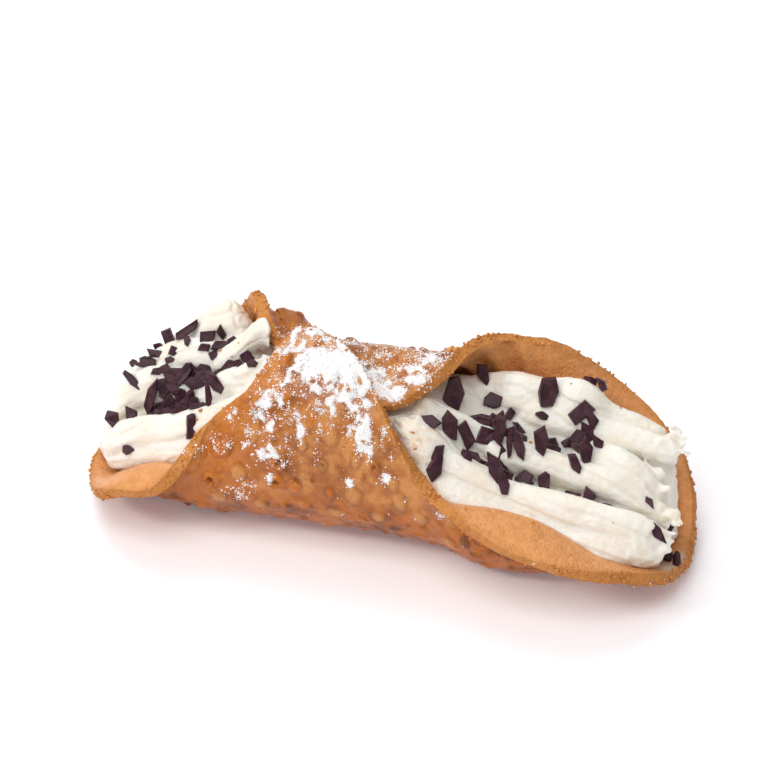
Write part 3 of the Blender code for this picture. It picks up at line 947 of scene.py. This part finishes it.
# Shards: x and y of the foot, length, width, turn of the long way in the shard's plane, and how far the
# shard stands up from the table's plane, or None where it lies on whatever is under it.
SHARDS = (
    # Wider mouth, from the seam outwards
    (13.1, 1.0, 6.4, 3.7, 80, 62), (16.7, 10.0, 4.4, 2.2, 107, 70), (19.3, 7.0, 3.8, 3.2, 20, 50),
    (19.8, 4.4, 1.5, 1.3, 60, 60), (21.5, 3.4, 3.5, 2.3, 80, 60), (23.0, 6.0, 2.2, 1.5, 60, 60),
    (25.1, 4.6, 3.3, 1.0, -43, 60), (30.0, 7.8, 5.6, 3.6, 80, 60), (29.3, 5.6, 2.4, 1.6, -20, 55),
    (36.3, 14.5, 3.0, 2.2, -10, None), (38.9, 13.3, 3.0, 1.6, -60, 60), (10.7, -7.6, 4.1, 2.1, -22, 45),
    (14.3, -6.2, 5.5, 3.0, 95, 62), (17.2, -5.0, 5.5, 3.1, 94, 62), (20.3, -3.4, 4.0, 3.1, 50, 60),
    (18.2, 0.8, 5.8, 1.6, 5, 40), (19.2, -0.2, 4.2, 1.4, -15, 50), (21.4, 0.6, 3.0, 1.6, -50, 60),
    (24.6, 2.0, 3.5, 3.2, 20, 55), (22.0, 0.2, 2.2, 1.6, 40, 60), (24.4, -5.6, 6.5, 2.2, 88, 72),
    (25.4, -5.0, 5.5, 1.1, 88, 70), (27.1, -4.6, 5.8, 2.0, 102, 68), (26.9, 2.0, 1.9, 1.4, 30, 50),
    (28.3, 1.6, 2.1, 1.5, -10, 50), (31.2, -3.0, 5.6, 2.6, 95, 62), (31.8, 2.6, 3.0, 2.8, 10, 60),
    (32.5, 0.8, 3.0, 2.0, -20, 60), (33.3, 0.4, 1.4, 1.1, 20, 50), (17.8, -8.6, 2.8, 1.4, -25, None),
    (19.8, -7.2, 2.3, 1.6, -20, None), (22.0, -5.6, 2.8, 1.2, 25, 50), (24.0, -11.0, 6.0, 2.4, 111, 60),
    (26.1, -12.0, 3.8, 1.9, 100, 58), (25.5, -8.4, 3.0, 1.3, -20, None), (29.0, -8.0, 3.6, 2.8, 30, 50),
    (30.2, -8.0, 1.6, 1.1, -10, 50), (33.0, -8.2, 3.3, 2.3, 100, 55), (13.3, -12.0, 4.2, 1.9, 65, 58),
    (13.5, -14.0, 5.2, 2.6, 60, 62), (36.7, 6.0, 4.6, 2.6, 40, 55), (39.0, 6.0, 4.0, 2.0, 105, 60),
    (38.3, 4.8, 4.2, 2.0, -60, 60), (36.9, 2.6, 3.8, 2.8, 25, 55), (40.8, 1.4, 3.2, 1.8, -50, 60),
    (39.4, -1.6, 5.0, 2.5, 95, 65), (37.9, -4.0, 4.0, 1.7, 110, 55), (41.3, -6.8, 3.7, 2.5, 105, 50),
    (38.1, -7.2, 3.3, 1.0, -20, None), (44.6, -6.8, 2.8, 1.6, -12, None), (52.4, -4.2, 2.7, 1.4, 112, 50),
    (55.4, 1.0, 4.4, 2.6, 35, 50), (56.3, -5.0, 4.2, 2.4, 120, 50), (58.6, -6.6, 3.2, 1.2, 88, 45),
    (55.3, -10.6, 4.7, 1.8, 127, 45), (20.6, 1.8, 3.4, 2.2, 70, 60), (23.2, 2.6, 2.8, 1.8, -30, 55),
    (22.6, -1.6, 4.6, 2.4, 98, 65), (21.2, -2.8, 3.6, 1.6, 20, 50), (23.2, -3.8, 5.6, 2.2, 84, 70),
    (26.2, -0.8, 3.2, 2.0, -15, 50), (18.8, -6.0, 3.4, 1.6, -24, 45), (20.9, -6.8, 2.4, 1.4, 15, 45),
    (25.6, 0.7, 2.6, 1.6, 35, 55), (28.4, -6.2, 3.4, 2.2, 75, 55), (35.2, 4.2, 3.2, 2.0, 15, 55),
    (37.4, 0.6, 3.0, 1.8, -35, 55),
    # Narrower mouth, from the far side to the near side
    (-46.2, 8.3, 3.5, 2.5, 100, 60), (-48.0, 7.3, 2.1, 1.5, -20, 55), (-42.0, 7.4, 5.3, 1.3, 38, 55),
    (-41.7, 7.0, 5.0, 1.1, 36, 50), (-37.3, 6.0, 3.4, 2.5, 20, 55), (-34.9, 7.4, 3.2, 2.0, 92, 65),
    (-34.2, 4.6, 4.3, 2.2, 15, 50), (-32.3, 6.2, 1.5, 1.3, 40, 50), (-41.0, 4.8, 2.0, 1.2, 100, 55),
    (-27.9, 1.8, 2.7, 2.2, 110, 60), (-26.2, -0.4, 2.1, 1.3, 15, None), (-47.8, 4.3, 3.3, 1.9, -25, 50),
    (-43.6, 3.8, 1.7, 1.5, 70, 55), (-44.0, 3.0, 2.1, 1.2, 0, 45), (-52.1, 4.5, 1.8, 1.5, -50, 50),
    (-56.0, 4.6, 1.7, 0.8, 80, 50), (-49.0, 2.2, 4.2, 1.4, 10, 45), (-49.8, 3.8, 1.7, 1.2, 20, 50),
    (-48.4, 3.6, 1.5, 1.1, -20, 50), (-50.2, -1.8, 5.3, 1.5, -48, 50), (-43.1, -0.8, 4.7, 2.1, -50, 55),
    (-40.5, -0.2, 5.2, 1.9, 58, 58), (-40.0, -0.4, 4.6, 1.2, 58, 52), (-35.9, 1.7, 5.6, 2.8, -8, 50),
    (-37.2, 0.4, 3.3, 2.0, 15, 50), (-37.5, 4.2, 2.3, 1.5, 0, 60), (-35.2, 3.0, 2.0, 1.8, 45, 60),
    (-31.3, 0.4, 3.5, 2.2, 35, 55), (-29.2, 0.4, 1.9, 1.3, -40, 55), (-33.5, 0.4, 2.1, 1.6, 20, 60),
    (-32.9, -3.8, 5.3, 2.0, -58, 55), (-45.5, -5.4, 7.7, 1.9, 78, 68), (-38.3, -3.8, 4.1, 1.5, 75, 65),
    (-37.4, -4.0, 3.7, 1.2, 92, 68), (-43.8, -2.6, 1.8, 1.5, 120, 60), (-43.2, -5.0, 3.1, 2.4, 30, 60),
    (-41.5, -4.3, 2.4, 1.9, 60, 65), (-36.3, -6.2, 2.7, 2.2, 100, 62), (-38.9, -6.0, 3.1, 1.2, -55, 55),
    (-32.8, -7.6, 5.0, 1.2, 92, 70), (-34.8, -7.6, 3.7, 1.2, 8, 45), (-38.9, -7.1, 3.4, 1.5, 15, 45),
    (-42.2, -6.6, 3.4, 1.4, 8, 45), (-44.9, -5.8, 2.9, 1.3, 12, 45), (-39.9, -5.8, 2.7, 1.8, 20, 55),
    (-49.5, -6.0, 3.2, 2.4, -30, 50), (-49.0, -6.4, 2.1, 1.4, 30, 50), (-52.5, -8.2, 3.5, 2.5, 105, 55),
    (-47.6, -11.6, 3.2, 1.7, 15, 40), (-35.0, -11.6, 4.7, 2.5, 95, 60), (-39.0, 1.8, 4.6, 2.6, 35, 55),
    (-38.2, -0.8, 3.6, 2.2, -30, 50), (-41.8, 0.9, 3.8, 1.6, 0, 50), (-36.3, -2.0, 4.0, 2.4, 60, 60),
    (-42.4, -1.5, 3.0, 1.6, -20, 45), (-34.6, -1.8, 3.4, 2.2, 20, 55), (-40.4, -3.2, 3.6, 2.0, 80, 62),
    (-45.6, 0.6, 3.2, 1.4, 10, 45), (-37.0, 2.4, 3.8, 2.0, 110, 58), (-43.0, -6.2, 3.0, 1.6, -10, 45),
    (-44.4, -3.8, 3.6, 2.6, 20, 60), (-42.6, -3.6, 3.8, 2.4, 70, 62), (-43.4, -1.8, 3.0, 2.2, 10, 60),
    (-41.2, -2.2, 3.4, 2.0, -30, 55), (-44.8, -1.4, 3.2, 1.8, 40, 55), (-39.4, -4.4, 3.0, 2.2, 30, 58),
)


def cut_shard(draw, length, width, thickness):
    """A flat chip with four to six corners and slightly blunt edges, this long and wide."""
    sheet = bmesh.new()
    count = draw.choice((4, 4, 5, 5, 6)) if length > 2.0 else 4
    bmesh.ops.create_circle(sheet, cap_ends=True, segments=count, radius=1.0)
    start = draw.uniform(-0.5, 0.5)
    for i, vert in enumerate(sheet.verts):
        turn = (i + start + draw.uniform(-0.24, 0.24)) * math.tau / count
        reach = draw.uniform(0.85, 1.1)
        vert.co = (math.cos(turn) * reach, math.sin(turn) * reach, 0.0)
    low = Vector([min(vert.co[i] for vert in sheet.verts) for i in (0, 1)])
    high = Vector([max(vert.co[i] for vert in sheet.verts) for i in (0, 1)])
    for vert in sheet.verts:
        vert.co.x = ((vert.co.x - low.x) / (high.x - low.x) - 0.5) * length
        vert.co.y = ((vert.co.y - low.y) / (high.y - low.y) - 0.5) * width
    top = bmesh.ops.extrude_face_region(sheet, geom=sheet.faces[:])["geom"]
    for vert in top:
        if isinstance(vert, bmesh.types.BMVert):
            vert.co *= draw.uniform(0.82, 0.98)
            vert.co.z += thickness * draw.uniform(0.85, 1.15)
    bmesh.ops.recalc_face_normals(sheet, faces=sheet.faces)
    bmesh.ops.translate(sheet, verts=sheet.verts, vec=(0.0, 0.0, -0.5 * thickness))
    bmesh.ops.bevel(
        sheet, geom=sheet.edges[:], offset=0.11 * min(thickness, 1.2), segments=2, profile=0.5,
        affect="EDGES", material=-1,
    )
    return take_shape(sheet)


def drop_on(ground, x, y):
    """Highest place on the ground at x and y, or None."""
    return ground.ray_cast(Vector((x, y, 80.0)), Vector((0.0, 0.0, -1.0)))[0]


def lie_on(ground, x, y, reach):
    """Turn that lays a flat thing on the ground around x and y."""
    spots = [drop_on(ground, x + dx, y + dy) for dx, dy in ((reach, 0), (-reach, 0), (0, reach), (0, -reach))]
    if None in spots:
        return Matrix.Identity(4)
    normal = (spots[0] - spots[1]).cross(spots[2] - spots[3])
    return Vector((0.0, 0.0, 1.0)).rotation_difference(normal.normalized()).to_matrix().to_4x4()


def strew_shards(settings):
    """Set every shard with its foot a little way into the cream."""
    ground = surface_of("ricotta_cream", "fried_shell")
    draw = random.Random(3)
    facing = Matrix.Rotation(settings.facing, 4, "Z")
    shapes = []
    places = []
    for x, y, length, width, turn, lean in SHARDS:
        thickness = settings.thickness / MM * draw.uniform(0.8, 1.25) * min(1.0, 0.5 + length / 5.0)
        points, faces = cut_shard(draw, length * settings.size, width * settings.size, thickness)
        spin = Matrix.Rotation(math.radians(turn), 4, "Z")
        foot = drop_on(ground, x, y) or Vector((x, y, 12.0))
        if lean is None:
            tilt = lie_on(ground, x, y, 0.35 * length)
            centre = foot + tilt @ Vector((0.0, 0.0, 0.35 * thickness))
        else:
            tilt = facing @ Matrix.Rotation(math.radians(lean), 4, "X")
            tilt = tilt @ Matrix.Rotation(math.radians(draw.uniform(-14.0, 14.0)), 4, "Y")
            below = min((spin @ Vector(point)).y for point in points)
            centre = foot + tilt @ Vector((0.0, -below - settings.sunk / MM, 0.0))
        shapes.append((points, faces))
        places.append((len(places), Matrix.Translation(centre) @ tilt @ spin))
    return repeat_shape("chocolate_shards", shapes, places)


class ChocolateSettings(bpy.types.PropertyGroup):
    """Sizes and colours of the chocolate."""

    thickness: FloatProperty(
        name="Thickness", description="Usual thickness of a shard", default=1.3 * MM, unit="LENGTH",
    )
    size: FloatProperty(
        name="Size", description="How long and wide the shards are for their listed size", default=1.12,
        min=0.5, max=2.0, subtype="FACTOR",
    )
    sunk: FloatProperty(
        name="Sunk", description="How far a standing shard is pushed into the cream", default=0.5 * MM,
        unit="LENGTH",
    )
    facing: FloatProperty(
        name="Facing", description="Way the standing shards face, from the near side",
        default=math.radians(15.0), subtype="ANGLE",
    )
    chocolate: FloatVectorProperty(
        name="Chocolate", description="Dark chocolate", default=linear("#331620"), subtype="COLOR",
    )
    bloom: FloatVectorProperty(
        name="Bloom", description="Faint pale bloom on the chocolate", default=linear("#4E2C36"),
        subtype="COLOR",
    )


class CANNOLO_OT_chocolate(bpy.types.Operator):
    """Strew the chocolate shards"""

    bl_idname = "cannolo.chocolate"
    bl_label = "Chocolate shards"

    def execute(self, context):
        settings = context.scene.cannolo_chocolate
        piece = strew_shards(settings)
        finish_piece(piece, dark_chocolate(settings), "cream")
        for face in piece.data.polygons:
            face.use_smooth = False
        return {"FINISHED"}


# ---------------------------------------------------------------- sugar and crumbs


# Crumbs of fried dough: x, y and size.
CRUMBS = (
    (-33.5, 4.6, 1.3), (-33.9, 3.6, 0.9), (-34.0, -9.0, 1.1), (-34.4, -10.2, 0.8), (-48.5, 9.0, 0.7),
    (41.0, 5.0, 0.9), (33.5, 11.0, 0.5), (43.0, 12.5, 0.6), (27.3, 1.0, 1.0), (28.5, -1.0, 1.1),
    (-30.0, 3.0, 0.6), (-31.0, 1.8, 0.5), (30.0, 9.5, 0.4), (47.0, -12.0, 0.4), (33.0, -17.5, 0.9),
    (20.5, -19.0, 0.8), (45.0, -19.5, 0.6), (52.0, -17.0, 0.7), (10.4, 8.6, 2.4), (11.8, 7.6, 1.8),
    (9.4, 9.4, 1.3), (21.0, 17.4, 1.1), (22.2, 17.6, 0.8), (8.0, -10.5, 0.9), (9.0, -12.0, 0.8),
)


def crumb_shapes(draw):
    """A few rough little lumps of radius 1."""
    shapes = []
    for _ in range(5):
        sheet = bmesh.new()
        bmesh.ops.create_icosphere(sheet, subdivisions=1, radius=1.0)
        for vert in sheet.verts:
            vert.co *= draw.uniform(0.7, 1.25)
        shapes.append(take_shape(sheet))
    return shapes


def scatter_on(mesh, weights, count, low, high, draw):
    """Places for lumps on a mesh: more where the weight is greater, sized between low and high mm."""
    points = read_points(mesh)
    normals = read_normals(mesh)
    reach = np.cumsum(weights)
    places = []
    for _ in range(count):
        i = min(int(np.searchsorted(reach, draw.random() * reach[-1])), len(points) - 1)
        size = low * (high / low) ** (draw.random() ** 1.6)
        spot = Vector(points[i]) + Vector(normals[i]) * size * 0.35
        spot += Vector([draw.uniform(-0.12, 0.12) for _ in range(3)])
        scale = Matrix.Diagonal((size * draw.uniform(0.7, 1.3), size * draw.uniform(0.7, 1.3), size, 1.0))
        turn = Matrix.Rotation(draw.uniform(0.0, math.tau), 4, Vector(normals[i]))
        places.append((draw.randrange(5), Matrix.Translation(spot) @ turn @ scale))
    return places


def read_value(mesh, name):
    """Read back a stored number for each vertex."""
    values = np.empty(len(mesh.vertices), dtype=np.float32)
    mesh.attributes[name].data.foreach_get("value", values)
    return values.astype(float)


def vertex_areas(mesh):
    """Share of the surface that belongs to each vertex."""
    areas = np.zeros(len(mesh.vertices))
    for face in mesh.polygons:
        for i in face.vertices:
            areas[i] += face.area / len(face.vertices)
    return areas


def dust_sugar(settings):
    """Loose clumps of icing sugar, thickest at the borders of the drifts."""
    mesh = bpy.data.objects["fried_shell"].data
    sugar = read_value(mesh, "sugar")
    thin = ease(0.12, 0.45, sugar) * (1.0 - 0.75 * ease(0.7, 1.0, sugar))
    draw = random.Random(8)
    shapes = crumb_shapes(draw)
    weights = (thin + 0.004) * vertex_areas(mesh) * (read_value(mesh, "inner") < 0.5)
    places = scatter_on(mesh, weights, settings.grains, 0.05, 0.22, draw)
    return repeat_shape("icing_sugar", shapes, places)


def scatter_crumbs(settings):
    """Crumbs along the cut edge, and those that have fallen on the cream and the dough."""
    mesh = bpy.data.objects["fried_shell"].data
    edge = read_value(mesh, "edge")
    areas = vertex_areas(mesh)
    patchy = 0.2 + ease(-0.1, 0.4, field(read_points(mesh), 5.0, 31))
    draw = random.Random(9)
    shapes = crumb_shapes(draw)
    places = scatter_on(mesh, ease(0.5, 0.95, edge) * areas * patchy, settings.edge_crumbs, 0.10, 0.42, draw)
    outer_areas = areas * (read_value(mesh, "inner") < 0.5)
    places += scatter_on(mesh, outer_areas, settings.loose_crumbs, 0.08, 0.22, draw)
    ground = surface_of("ricotta_cream", "fried_shell")
    for x, y, size in CRUMBS:
        spot = drop_on(ground, x, y)
        turn = Matrix.Rotation(draw.uniform(0.0, math.tau), 4, "Z")
        scale = Matrix.Diagonal((0.6 * size, 0.34 * size, 0.3 * size, 1.0))
        place = Matrix.Translation(spot + Vector((0, 0, 0.12 * size))) @ turn @ scale
        places.append((draw.randrange(5), place))
    tints = [draw.random() for _ in places]
    return repeat_shape("pastry_crumbs", shapes, places, tints)


class DustSettings(bpy.types.PropertyGroup):
    """Amounts and colours of the sugar and crumbs."""

    grains: IntProperty(name="Sugar grains", description="Loose clumps of icing sugar", default=7500)
    edge_crumbs: IntProperty(name="Edge crumbs", description="Crumbs along the cut edge", default=1500)
    loose_crumbs: IntProperty(name="Loose crumbs", description="Crumbs stuck on the outside", default=160)
    sugar: FloatVectorProperty(
        name="Sugar", description="Icing sugar", default=linear("#FBF8F8"), subtype="COLOR",
    )
    crumb: FloatVectorProperty(
        name="Crumb", description="Golden crumb", default=linear("#D9954E"), subtype="COLOR",
    )
    crumb_dark: FloatVectorProperty(
        name="Dark crumb", description="Well fried crumb", default=linear("#B5702F"), subtype="COLOR",
    )


class CANNOLO_OT_sugar(bpy.types.Operator):
    """Dust the roll with icing sugar"""

    bl_idname = "cannolo.sugar"
    bl_label = "Icing sugar"

    def execute(self, context):
        settings = context.scene.cannolo_dust
        finish_piece(dust_sugar(settings), icing_sugar(settings), "shell")
        return {"FINISHED"}


class CANNOLO_OT_crumbs(bpy.types.Operator):
    """Scatter the crumbs of fried dough"""

    bl_idname = "cannolo.crumbs"
    bl_label = "Pastry crumbs"

    def execute(self, context):
        settings = context.scene.cannolo_dust
        finish_piece(scatter_crumbs(settings), dough_crumb(settings), "shell")
        return {"FINISHED"}


# ---------------------------------------------------------------- stage


class StageSettings(bpy.types.PropertyGroup):
    """Camera, lights and floor."""

    azimuth: FloatProperty(
        name="Azimuth", description="Turn of the camera from the near side", default=math.radians(15.0),
        subtype="ANGLE",
    )
    elevation: FloatProperty(
        name="Elevation", description="Height of the camera above the table", default=math.radians(35.0),
        subtype="ANGLE",
    )
    distance: FloatProperty(name="Distance", description="Distance of the camera", default=0.6, unit="LENGTH")
    lens: FloatProperty(name="Lens", description="Focal length in millimetres", default=146.25)
    top: FloatProperty(
        name="Top light", description="Power of the large soft light above and in front", default=2.9,
        unit="POWER",
    )
    behind: FloatProperty(
        name="Back light", description="Power of the soft light above and behind", default=1.7,
        unit="POWER",
    )
    fill: FloatProperty(
        name="Fill light", description="Power of the small light in front and to the left", default=0.75,
        unit="POWER",
    )
    floor_glow: FloatProperty(
        name="Floor glow", description="Light from the lit table under the floor", default=0.12,
    )
    sky: FloatProperty(name="Sky", description="Strength of the even light all round", default=0.45)


def add_light(name, power, width, place, target):
    """Add a large soft light that faces the target."""
    lamp = bpy.data.lights.new(name, "AREA")
    lamp.shape = "SQUARE"
    lamp.size = width
    lamp.energy = power
    holder = bpy.data.objects.new(name, lamp)
    holder.location = place
    holder.rotation_euler = (Vector(target) - Vector(place)).to_track_quat("-Z", "Y").to_euler()
    bpy.context.scene.collection.objects.link(holder)
    return holder


class CANNOLO_OT_stage(bpy.types.Operator):
    """Make the floor, lights and camera"""

    bl_idname = "cannolo.stage"
    bl_label = "Stage"

    def execute(self, context):
        settings = context.scene.cannolo_stage
        scene = context.scene
        sheet = bmesh.new()
        bmesh.ops.create_grid(sheet, x_segments=1, y_segments=1, size=3.0)
        mesh = bpy.data.meshes.new("floor")
        sheet.to_mesh(mesh)
        sheet.free()
        floor = new_object("floor", mesh)
        look, tree, shader, coords = start_material("white_table")
        shader.inputs["Base Color"].default_value = (*linear("#FAF9FA"), 1.0)
        shader.inputs["Roughness"].default_value = 0.6
        shader.inputs["Emission Color"].default_value = (*linear("#F6F1FF"), 1.0)
        shader.inputs["Emission Strength"].default_value = settings.floor_glow
        floor.data.materials.append(look)
        centre = [(LOW[i] + HIGH[i]) / 2.0 for i in range(3)]
        add_light("softbox", settings.top, 0.50, (-0.04, -0.38, 0.68), centre)
        add_light("back_light", settings.behind, 0.40, (-0.25, 0.32, 0.60), centre)
        add_light("window", settings.fill, 0.09, (-0.36, -0.30, 0.34), centre)
        world = bpy.data.worlds.new("studio")
        world.use_nodes = True
        world.node_tree.nodes["Background"].inputs["Color"].default_value = (1.0, 1.0, 1.0, 1.0)
        world.node_tree.nodes["Background"].inputs["Strength"].default_value = settings.sky
        scene.world = world
        scene.view_settings.view_transform = "Standard"
        back = Vector((
            math.sin(settings.azimuth) * math.cos(settings.elevation),
            -math.cos(settings.azimuth) * math.cos(settings.elevation),
            math.sin(settings.elevation),
        ))
        right = Vector((math.cos(settings.azimuth), math.sin(settings.azimuth), 0.0))
        up = back.cross(right)
        # The roll sits a little right of the middle of the picture and below it.
        middle = Vector((centre[0] + 1.35 * MM, centre[1] + 1.84 * MM, centre[2] - 3.6 * MM))
        place = middle + back * settings.distance
        aim = middle - right * 2.1 * MM + up * 12.3 * MM
        lens = bpy.data.cameras.new("camera")
        lens.lens = settings.lens
        lens.sensor_width = 36.0
        lens.clip_start = 0.01
        camera = bpy.data.objects.new("camera", lens)
        camera.location = place
        camera.rotation_euler = (aim - place).to_track_quat("-Z", "Y").to_euler()
        scene.collection.objects.link(camera)
        scene.camera = camera
        return {"FINISHED"}


class CANNOLO_PT_panel(bpy.types.Panel):
    """Lists the settings and the pieces of the cannolo"""

    bl_idname = "CANNOLO_PT_panel"
    bl_label = "Cannolo"
    bl_space_type = "VIEW_3D"
    bl_region_type = "UI"
    bl_category = "Cannolo"

    def draw(self, context):
        layout = self.layout
        for group, classes in GROUPS:
            settings = getattr(context.scene, group)
            box = layout.box()
            for key in type(settings).__annotations__:
                box.prop(settings, key)
            for made in classes:
                box.operator(made.bl_idname)


GROUPS = (
    ("cannolo_shell", (CANNOLO_OT_shell,)),
    ("cannolo_cream", (CANNOLO_OT_cream,)),
    ("cannolo_chocolate", (CANNOLO_OT_chocolate,)),
    ("cannolo_dust", (CANNOLO_OT_sugar, CANNOLO_OT_crumbs)),
    ("cannolo_stage", (CANNOLO_OT_stage,)),
)
SETTINGS = (
    ("cannolo_shell", ShellSettings),
    ("cannolo_cream", CreamSettings),
    ("cannolo_chocolate", ChocolateSettings),
    ("cannolo_dust", DustSettings),
    ("cannolo_stage", StageSettings),
)


def register():
    """Register the settings, operators and panel."""
    for key, kind in SETTINGS:
        bpy.utils.register_class(kind)
        setattr(bpy.types.Scene, key, PointerProperty(type=kind))
    for _, classes in GROUPS:
        for made in classes:
            bpy.utils.register_class(made)
    bpy.utils.register_class(CANNOLO_PT_panel)


def unregister():
    """Remove what register added."""
    bpy.utils.unregister_class(CANNOLO_PT_panel)
    for _, classes in GROUPS:
        for made in classes:
            bpy.utils.unregister_class(made)
    for key, kind in SETTINGS:
        delattr(bpy.types.Scene, key)
        bpy.utils.unregister_class(kind)


def main():
    """Make every piece in turn."""
    register()
    bpy.ops.cannolo.shell()
    bpy.ops.cannolo.cream()
    bpy.ops.cannolo.chocolate()
    bpy.ops.cannolo.sugar()
    bpy.ops.cannolo.crumbs()
    bpy.ops.cannolo.stage()


if __name__ == "__main__":
    main()
